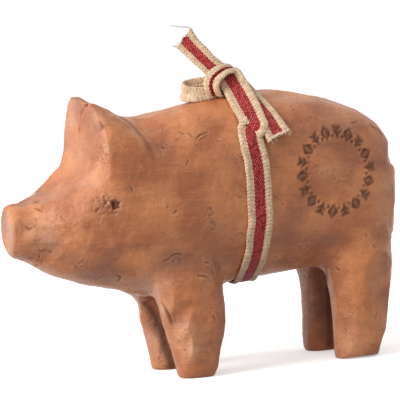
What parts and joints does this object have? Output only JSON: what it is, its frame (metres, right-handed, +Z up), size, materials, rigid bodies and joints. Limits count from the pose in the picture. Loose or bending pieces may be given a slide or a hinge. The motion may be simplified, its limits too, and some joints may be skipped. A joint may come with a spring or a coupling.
{
  "type": "pig figurine",
  "caption": "Hand-formed clay pig figurine standing on four thick legs, with a striped woven ribbon tied round its belly and knotted on its back.",
  "frame": {"origin": "on the standing surface, at the centre of the figure's outline seen from above, loose ribbon ends included", "axes": "+X towards the tail, -Y towards the pig's left side, which shows, +Z up"},
  "size_m": [0.161, 0.054, 0.1305],
  "materials": {
    "clay": "waxed terracotta, satin",
    "ribbon": "woven cotton tape, cream with a red centre stripe"
  },
  "bodies": {
    "root": {"torso": "clay", "head": "clay", "ear_left": "clay", "ear_right": "clay", "front_leg_left": "clay", "front_leg_right": "clay", "hind_leg_left": "clay", "hind_leg_right": "clay", "tail": "clay", "ribbon_band": "ribbon", "ribbon_near_rise": "ribbon", "ribbon_far_rise": "ribbon", "ribbon_knot": "ribbon", "ribbon_upper_tail": "ribbon", "ribbon_lower_tail": "ribbon", "ribbon_loop": "ribbon"}
  },
  "joints": []
}
